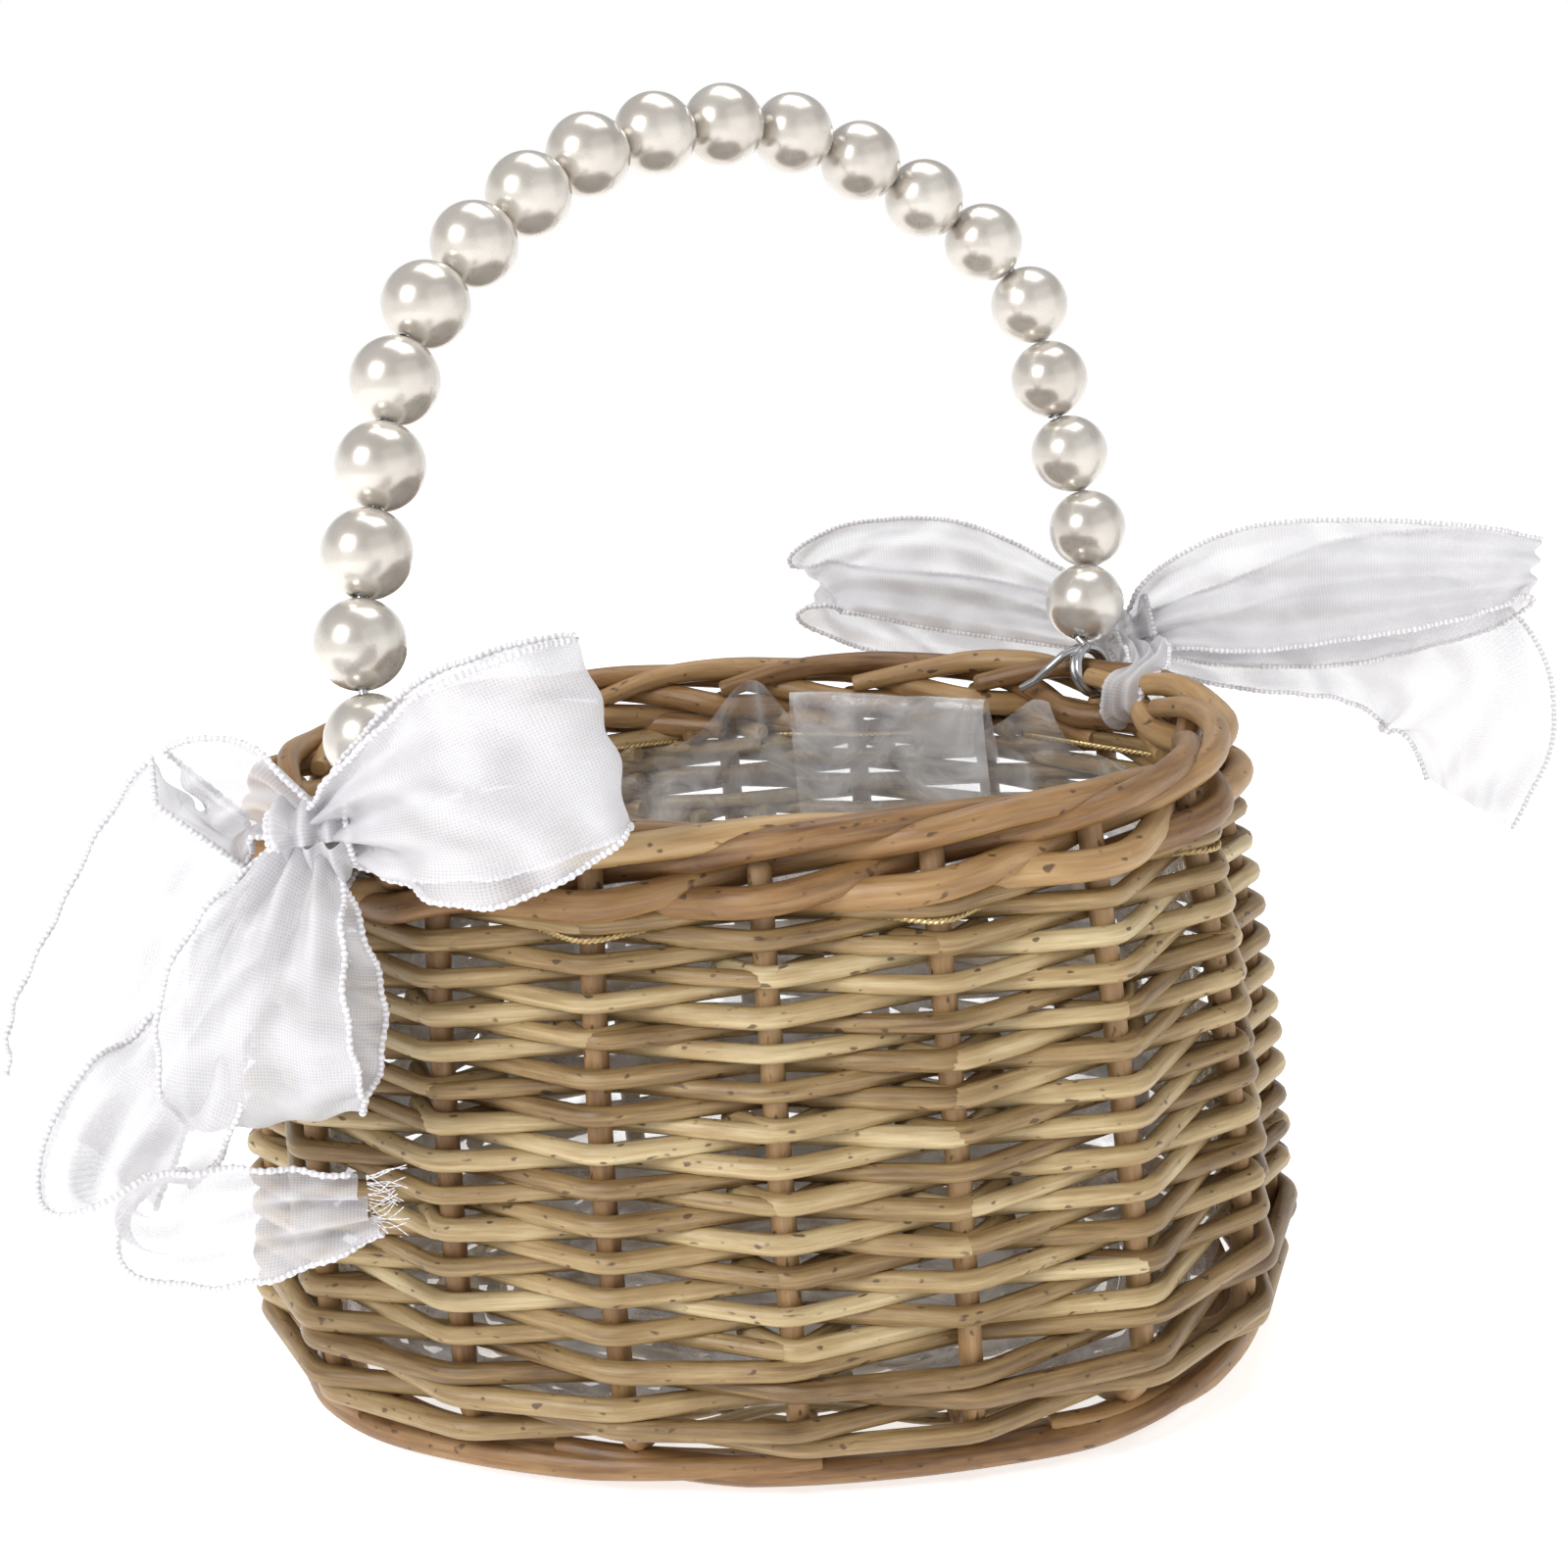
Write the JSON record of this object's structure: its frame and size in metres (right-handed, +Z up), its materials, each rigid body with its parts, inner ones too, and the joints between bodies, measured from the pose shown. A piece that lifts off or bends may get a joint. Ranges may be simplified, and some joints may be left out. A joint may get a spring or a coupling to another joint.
{
  "type": "flower girl basket",
  "caption": "Small oval woven willow basket with a bead-threaded wire handle, a clear laced liner and sheer ribbon bows at the handle feet.",
  "frame": {"origin": "on the resting plane, under the middle of the base oval", "axes": "+Z up, +X along the basket's longer side, -Y towards the side where the front bow hangs"},
  "size_m": [0.2788, 0.185, 0.2384],
  "materials": {
    "willow": "natural, semi-matt",
    "border_willow": "natural, semi-matt",
    "clear_film": "clear gloss",
    "gold_twine": "twisted metallic thread",
    "steel_wire": "bright drawn wire",
    "pearl": "pearl gloss",
    "sheer_ribbon": "sheer woven, stitched edges"
  },
  "bodies": {
    "root": {"base_long_sticks": "willow", "base_short_sticks": "willow", "base_weave": "willow", "side_stakes": "willow", "upsett_wale": "willow", "side_weavers_lower": "willow", "side_weavers_middle": "willow", "side_weavers_upper": "willow", "foot_border_rods": "border_willow", "rim_border_rods": "border_willow", "rim_top_rod": "border_willow", "liner_film": "clear_film", "liner_cord": "gold_twine", "left_bow_knot": "sheer_ribbon", "left_bow_front_loop": "sheer_ribbon", "left_bow_hanging_loop": "sheer_ribbon", "left_bow_outer_tail": "sheer_ribbon", "left_bow_lower_tail": "sheer_ribbon", "right_bow_knot": "sheer_ribbon", "right_bow_inner_loop": "sheer_ribbon", "right_bow_outer_loop": "sheer_ribbon", "right_bow_tail": "sheer_ribbon"},
    "handle": {"handle_wire": "steel_wire"},
    "bead_01_body": {"bead_01": "pearl"},
    "bead_02_body": {"bead_02": "pearl"},
    "bead_03_body": {"bead_03": "pearl"},
    "bead_04_body": {"bead_04": "pearl"},
    "bead_05_body": {"bead_05": "pearl"},
    "bead_06_body": {"bead_06": "pearl"},
    "bead_07_body": {"bead_07": "pearl"},
    "bead_08_body": {"bead_08": "pearl"},
    "bead_09_body": {"bead_09": "pearl"},
    "bead_10_body": {"bead_10": "pearl"},
    "bead_11_body": {"bead_11": "pearl"},
    "bead_12_body": {"bead_12": "pearl"},
    "bead_13_body": {"bead_13": "pearl"},
    "bead_14_body": {"bead_14": "pearl"},
    "bead_15_body": {"bead_15": "pearl"},
    "bead_16_body": {"bead_16": "pearl"},
    "bead_17_body": {"bead_17": "pearl"},
    "bead_18_body": {"bead_18": "pearl"},
    "bead_19_body": {"bead_19": "pearl"},
    "bead_20_body": {"bead_20": "pearl"}
  },
  "joints": [
    {"name": "handle_rock", "type": "hinge", "parent": "root", "child": "handle", "pos_m": [0.00747, -0.00392, 0.1172], "axis": [0.7277, 0.6859, 0], "range_deg": [-10, 45]},
    {"name": "bead_01_spin", "type": "hinge", "parent": "handle", "child": "bead_01_body", "pos_m": [-0.05313, -0.05417, 0.13222], "axis": [-0.1652, 0.277, 0.9466], "continuous": true},
    {"name": "bead_02_spin", "type": "hinge", "parent": "handle", "child": "bead_02_body", "pos_m": [-0.05486, -0.04871, 0.14775], "axis": [-0.0473, 0.3781, 0.9246], "continuous": true},
    {"name": "bead_03_spin", "type": "hinge", "parent": "handle", "child": "bead_03_body", "pos_m": [-0.05424, -0.04154, 0.16215], "axis": [0.1244, 0.5071, 0.8528], "continuous": true},
    {"name": "bead_04_spin", "type": "hinge", "parent": "handle", "child": "bead_04_body", "pos_m": [-0.05266, -0.03367, 0.1761], "axis": [0.0718, 0.4699, 0.8798], "continuous": true},
    {"name": "bead_05_spin", "type": "hinge", "parent": "handle", "child": "bead_05_body", "pos_m": [-0.05087, -0.02565, 0.18995], "axis": [0.1505, 0.5248, 0.8378], "continuous": true},
    {"name": "bead_06_spin", "type": "hinge", "parent": "handle", "child": "bead_06_body", "pos_m": [-0.0467, -0.01611, 0.20223], "axis": [0.3614, 0.6474, 0.671], "continuous": true},
    {"name": "bead_07_spin", "type": "hinge", "parent": "handle", "child": "bead_07_body", "pos_m": [-0.03979, -0.0052, 0.21184], "axis": [0.4924, 0.7004, 0.5168], "continuous": true},
    {"name": "bead_08_spin", "type": "hinge", "parent": "handle", "child": "bead_08_body", "pos_m": [-0.0317, 0.00613, 0.21994], "axis": [0.5122, 0.7063, 0.4887], "continuous": true},
    {"name": "bead_09_spin", "type": "hinge", "parent": "handle", "child": "bead_09_body", "pos_m": [-0.02249, 0.01771, 0.22628], "axis": [0.6252, 0.7233, 0.2932], "continuous": true},
    {"name": "bead_10_spin", "type": "hinge", "parent": "handle", "child": "bead_10_body", "pos_m": [-0.01175, 0.02928, 0.22945], "axis": [0.7011, 0.7062, 0.0992], "continuous": true},
    {"name": "bead_11_spin", "type": "hinge", "parent": "handle", "child": "bead_11_body", "pos_m": [-0.00027, 0.04053, 0.23038], "axis": [0.7238, 0.6898, 0.0166], "continuous": true},
    {"name": "bead_12_spin", "type": "hinge", "parent": "handle", "child": "bead_12_body", "pos_m": [0.01185, 0.05086, 0.22799], "axis": [0.7585, 0.5738, -0.3089], "continuous": true},
    {"name": "bead_13_spin", "type": "hinge", "parent": "handle", "child": "bead_13_body", "pos_m": [0.02397, 0.05944, 0.22178], "axis": [0.7414, 0.4886, -0.46], "continuous": true},
    {"name": "bead_14_spin", "type": "hinge", "parent": "handle", "child": "bead_14_body", "pos_m": [0.03569, 0.06669, 0.21346], "axis": [0.7114, 0.4096, -0.571], "continuous": true},
    {"name": "bead_15_spin", "type": "hinge", "parent": "handle", "child": "bead_15_body", "pos_m": [0.04695, 0.07286, 0.20374], "axis": [0.6856, 0.356, -0.6349], "continuous": true},
    {"name": "bead_16_spin", "type": "hinge", "parent": "handle", "child": "bead_16_body", "pos_m": [0.05568, 0.07498, 0.19038], "axis": [0.3396, -0.1071, -0.9345], "continuous": true},
    {"name": "bead_17_spin", "type": "hinge", "parent": "handle", "child": "bead_17_body", "pos_m": [0.05926, 0.07138, 0.17511], "axis": [0.1, -0.3342, -0.9372], "continuous": true},
    {"name": "bead_18_spin", "type": "hinge", "parent": "handle", "child": "bead_18_body", "pos_m": [0.06285, 0.06778, 0.15983], "axis": [0.3396, -0.1071, -0.9345], "continuous": true},
    {"name": "bead_19_spin", "type": "hinge", "parent": "handle", "child": "bead_19_body", "pos_m": [0.06603, 0.06379, 0.14456], "axis": [0.0473, -0.3781, -0.9246], "continuous": true},
    {"name": "bead_20_spin", "type": "hinge", "parent": "handle", "child": "bead_20_body", "pos_m": [0.06498, 0.0563, 0.13034], "axis": [-0.1763, -0.5419, -0.8218], "continuous": true}
  ]
}
